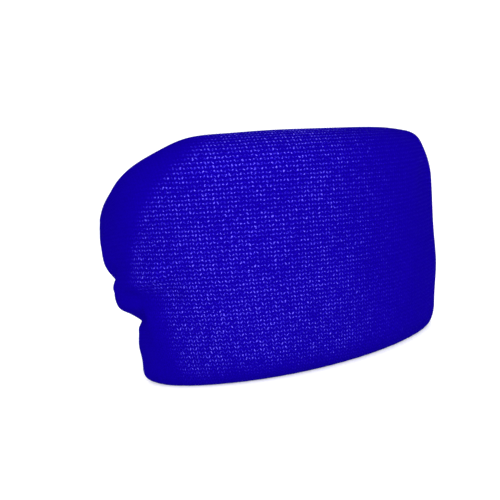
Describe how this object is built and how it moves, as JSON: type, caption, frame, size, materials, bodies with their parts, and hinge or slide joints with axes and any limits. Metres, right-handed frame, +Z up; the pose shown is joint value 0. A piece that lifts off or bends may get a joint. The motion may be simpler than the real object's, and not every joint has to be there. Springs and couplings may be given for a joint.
{
  "type": "padded knit hand wrap sleeve",
  "caption": "Padded elastic knit sleeve pulled over the knuckles of a closed fist, with a foam pad between two knit layers and open at both ends.",
  "frame": {"origin": "centre of the bounding box at floor height, on the plane of the finger rim", "axes": "-Y is the way a punch goes, -X the index-finger side, +X the little-finger side, +Z up through the back of the hand"},
  "size_m": [0.112, 0.071, 0.0765],
  "materials": {
    "outer_knit": "shiny synthetic jersey knit, royal blue",
    "lining_knit": "matt brushed jersey knit, blue",
    "foam": "closed-cell foam, matt",
    "elastic": "ribbed woven elastic tape",
    "thread": "polyester sewing thread"
  },
  "bodies": {
    "root": {"outer_knit_sleeve": "outer_knit", "inner_knit_lining": "lining_knit", "knuckle_foam_pad": "foam", "wrist_elastic": "elastic", "finger_elastic": "elastic", "wrist_hem_stitches": "thread", "finger_hem_stitches": "thread", "pad_tacking_stitches": "thread"}
  },
  "joints": []
}
